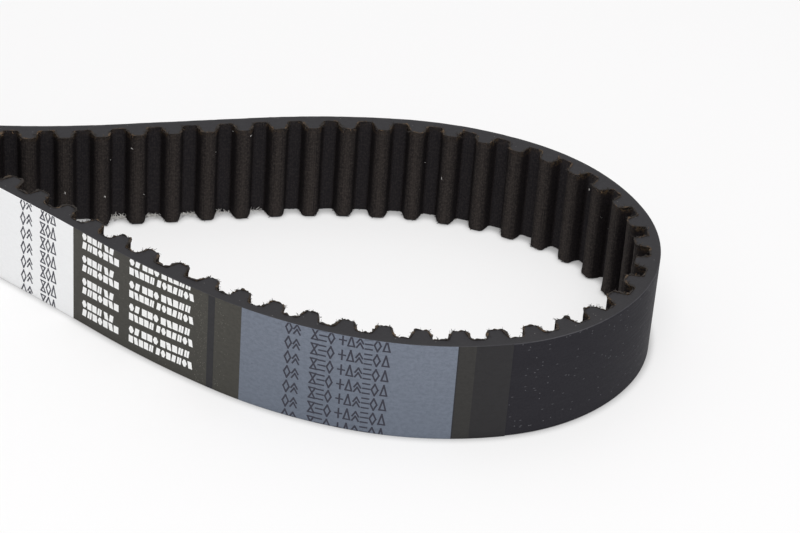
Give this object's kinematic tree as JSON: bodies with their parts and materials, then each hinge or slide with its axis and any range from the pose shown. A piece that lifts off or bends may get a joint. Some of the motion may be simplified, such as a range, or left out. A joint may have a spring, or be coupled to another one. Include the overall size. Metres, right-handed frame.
{
  "type": "timing belt",
  "caption": "Endless toothed timing belt standing on its cut edge, pinched into a two-lobed loop, teeth inside, flexing at its lands.",
  "frame": {"origin": "centre of the loop on the surface that the belt stands on", "axes": "+X along the loop's longer axis, towards the lobe beside the labels, +Z across the belt's width, up"},
  "size_m": [0.3946, 0.1031, 0.0286],
  "materials": {
    "back_rubber": "satin black, faint grinding marks",
    "tooth_rubber": "matte black where it is cut",
    "cord": "treated glass-fibre cord, pale tan",
    "facing": "black-brown woven nylon, matte",
    "white_film": null,
    "grey_film": null,
    "dark_film": null
  },
  "bodies": {
    "section_01": {"rubber_back_01": "back_rubber", "tension_cords_01": "cord", "rubber_teeth_01": "tooth_rubber", "tooth_fabric_01": "facing"},
    "section_02": {"rubber_back_02": "back_rubber", "tension_cords_02": "cord", "rubber_teeth_02": "tooth_rubber", "tooth_fabric_02": "facing"},
    "section_03": {"rubber_back_03": "back_rubber", "tension_cords_03": "cord", "rubber_teeth_03": "tooth_rubber", "tooth_fabric_03": "facing"},
    "section_04": {"rubber_back_04": "back_rubber", "tension_cords_04": "cord", "rubber_teeth_04": "tooth_rubber", "tooth_fabric_04": "facing", "brown_film": "dark_film", "olive_film": "dark_film", "grey_label_right": "grey_film"},
    "section_05": {"rubber_back_05": "back_rubber", "tension_cords_05": "cord", "rubber_teeth_05": "tooth_rubber", "tooth_fabric_05": "facing", "grey_label_left": "grey_film", "print_film_right": "dark_film"},
    "section_06": {"rubber_back_06": "back_rubber", "tension_cords_06": "cord", "rubber_teeth_06": "tooth_rubber", "tooth_fabric_06": "facing", "print_film_left": "dark_film", "white_label": "white_film"},
    "section_07": {"rubber_back_07": "back_rubber", "tension_cords_07": "cord", "rubber_teeth_07": "tooth_rubber", "tooth_fabric_07": "facing"},
    "section_08": {"rubber_back_08": "back_rubber", "tension_cords_08": "cord", "rubber_teeth_08": "tooth_rubber", "tooth_fabric_08": "facing"},
    "section_09": {"rubber_back_09": "back_rubber", "tension_cords_09": "cord", "rubber_teeth_09": "tooth_rubber", "tooth_fabric_09": "facing"},
    "section_10": {"rubber_back_10": "back_rubber", "tension_cords_10": "cord", "rubber_teeth_10": "tooth_rubber", "tooth_fabric_10": "facing"},
    "section_11a": {"rubber_back_11a": "back_rubber", "tension_cords_11a": "cord", "rubber_teeth_11a": "tooth_rubber", "tooth_fabric_11a": "facing"},
    "section_11b": {"rubber_back_11b": "back_rubber", "tension_cords_11b": "cord", "rubber_teeth_11b": "tooth_rubber", "tooth_fabric_11b": "facing"},
    "section_12": {"rubber_back_12": "back_rubber", "tension_cords_12": "cord", "rubber_teeth_12": "tooth_rubber", "tooth_fabric_12": "facing"}
  },
  "joints": [
    {"name": "flex_05_06", "type": "hinge", "parent": "section_05", "child": "section_06", "pos_m": [0.05904, -0.02897, 0], "axis": [0, 0, 1], "range_deg": [-7.5, 0.3], "stiffness_Nm_per_rad": 0.02},
    {"name": "waist_squeeze", "type": "hinge", "parent": "section_06", "child": "section_07", "pos_m": [-0.01241, -0.00867, 0], "axis": [0, 0, 1], "range_deg": [-25, 1], "stiffness_Nm_per_rad": 0.02},
    {"name": "flex_07_08", "type": "hinge", "parent": "section_07", "child": "section_08", "pos_m": [-0.08363, -0.0355, 0], "axis": [0, 0, 1], "range_deg": [-6.25, 0.25], "stiffness_Nm_per_rad": 0.02},
    {"name": "flex_08_09", "type": "hinge", "parent": "section_08", "child": "section_09", "pos_m": [-0.15778, -0.04549, 0], "axis": [0, 0, 1], "range_deg": [-0.5, 12.5], "stiffness_Nm_per_rad": 0.02},
    {"name": "flex_09_10", "type": "hinge", "parent": "section_09", "child": "section_10", "pos_m": [-0.19287, 0.01237, 0], "axis": [0, 0, 1], "range_deg": [-0.85, 21.25], "stiffness_Nm_per_rad": 0.02},
    {"name": "flex_10_11a", "type": "hinge", "parent": "section_10", "child": "section_11a", "pos_m": [-0.13161, 0.04944, 0], "axis": [0, 0, 1], "range_deg": [-0.2, 5], "stiffness_Nm_per_rad": 0.02},
    {"name": "flex_04_05", "type": "hinge", "parent": "section_05", "child": "section_04", "pos_m": [0.13161, -0.04944, 0], "axis": [0, 0, -1], "range_deg": [-0.2, 5], "stiffness_Nm_per_rad": 0.02},
    {"name": "flex_03_04", "type": "hinge", "parent": "section_04", "child": "section_03", "pos_m": [0.19287, -0.01237, 0], "axis": [0, 0, -1], "range_deg": [-0.85, 21.25], "stiffness_Nm_per_rad": 0.02},
    {"name": "flex_02_03", "type": "hinge", "parent": "section_03", "child": "section_02", "pos_m": [0.15778, 0.04549, 0], "axis": [0, 0, -1], "range_deg": [-0.5, 12.5], "stiffness_Nm_per_rad": 0.02},
    {"name": "flex_01_02", "type": "hinge", "parent": "section_02", "child": "section_01", "pos_m": [0.08363, 0.0355, 0], "axis": [0, 0, -1], "range_deg": [-6.25, 0.25], "stiffness_Nm_per_rad": 0.02},
    {"name": "flex_01_12", "type": "hinge", "parent": "section_01", "child": "section_12", "pos_m": [0.01241, 0.00867, 0], "axis": [0, 0, -1], "range_deg": [-25, 1], "stiffness_Nm_per_rad": 0.02},
    {"name": "flex_11b_12", "type": "hinge", "parent": "section_12", "child": "section_11b", "pos_m": [-0.05904, 0.02897, 0], "axis": [0, 0, -1], "range_deg": [-7.5, 0.3], "stiffness_Nm_per_rad": 0.02}
  ],
  "couplings": [
    {"joint": "flex_05_06", "follows": "waist_squeeze", "ratio": 0.3},
    {"joint": "flex_07_08", "follows": "waist_squeeze", "ratio": 0.25},
    {"joint": "flex_08_09", "follows": "waist_squeeze", "ratio": -0.5},
    {"joint": "flex_09_10", "follows": "waist_squeeze", "ratio": -0.85},
    {"joint": "flex_10_11a", "follows": "waist_squeeze", "ratio": -0.2},
    {"joint": "flex_04_05", "follows": "waist_squeeze", "ratio": -0.2},
    {"joint": "flex_03_04", "follows": "waist_squeeze", "ratio": -0.85},
    {"joint": "flex_02_03", "follows": "waist_squeeze", "ratio": -0.5},
    {"joint": "flex_01_02", "follows": "waist_squeeze", "ratio": 0.25},
    {"joint": "flex_01_12", "follows": "waist_squeeze", "ratio": 1},
    {"joint": "flex_11b_12", "follows": "waist_squeeze", "ratio": 0.3}
  ]
}
